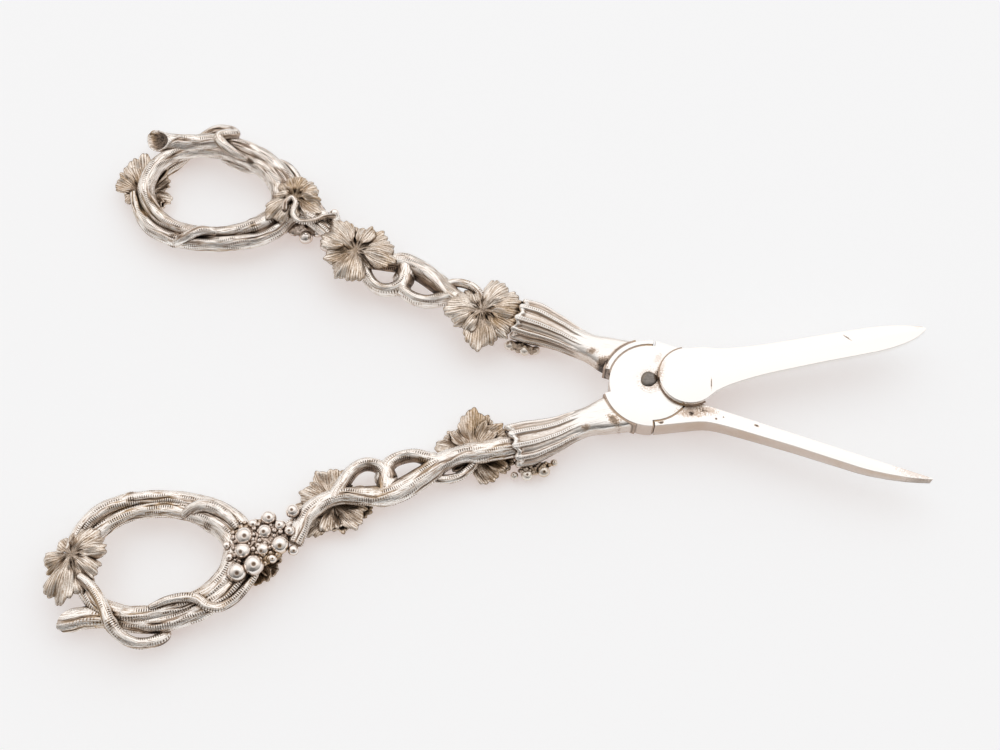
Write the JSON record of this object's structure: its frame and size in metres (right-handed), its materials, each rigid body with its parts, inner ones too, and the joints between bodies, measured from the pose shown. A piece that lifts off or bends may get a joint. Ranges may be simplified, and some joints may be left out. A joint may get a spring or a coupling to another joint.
{
  "type": "grape shears",
  "caption": "Silver grape shears with open vine handles, cast leaves and grapes, a half-lap pivot, a wide cutting plate over a gripping bar, and a narrow lower bar.",
  "frame": {"origin": "on the pivot axis, on the flat back of the joint, where the rivet's back head is flush with the rear disc", "axes": "+X from the handles to the blade tips along the bisector of the open arms, +Y across towards the front arm's blade, +Z along the rivet out of the front face"},
  "size_m": [0.1668, 0.1128, 0.0092],
  "materials": {
    "polished_silver": "polished sterling silver with fine wear scratches",
    "cast_vine": "cast silver chased as bark, tarnish in the grooves",
    "chased_leaves": "cast silver chased with fine veins, tarnished between them",
    "bright_grapes": "polished cast silver grapes, dark between them",
    "rivet_steel": "dark worn steel rivet"
  },
  "bodies": {
    "rear_arm": {"rear_blade_bar": "polished_silver", "pivot_rivet": "rivet_steel", "rear_shank": "polished_silver", "rear_stem": "cast_vine", "rear_eyelet_branch": "cast_vine", "rear_stem_shoot": "cast_vine", "rear_ring_vine": "cast_vine", "rear_end_tendril": "cast_vine", "rear_lower_shoot": "cast_vine", "rear_back_shoot": "cast_vine", "rear_upper_shoot": "cast_vine", "rear_end_leaf": "chased_leaves", "rear_junction_leaf": "chased_leaves", "rear_stem_leaf": "chased_leaves", "rear_calyx_leaf": "chased_leaves", "rear_petiole": "cast_vine", "rear_grape_bunch": "bright_grapes", "rear_calyx_grapes": "bright_grapes"},
    "front_arm": {"front_blade_bar": "polished_silver", "front_cutting_plate": "polished_silver", "front_shank": "polished_silver", "front_stem": "cast_vine", "front_eyelet_branch": "cast_vine", "front_stem_shoot": "cast_vine", "front_ring_vine": "cast_vine", "front_end_tendril": "cast_vine", "front_lower_shoot": "cast_vine", "front_back_shoot": "cast_vine", "front_upper_shoot": "cast_vine", "front_end_leaf": "chased_leaves", "front_junction_leaf": "chased_leaves", "front_stem_leaf": "chased_leaves", "front_calyx_leaf": "chased_leaves", "front_petiole": "cast_vine", "front_grape_bunch": "bright_grapes", "front_calyx_grapes": "bright_grapes"}
  },
  "joints": [
    {"name": "pivot_hinge", "type": "hinge", "parent": "rear_arm", "child": "front_arm", "pos_m": [0, 0, 0.0025], "axis": [0, 0, 1], "range_deg": [-30.2, 0]}
  ]
}
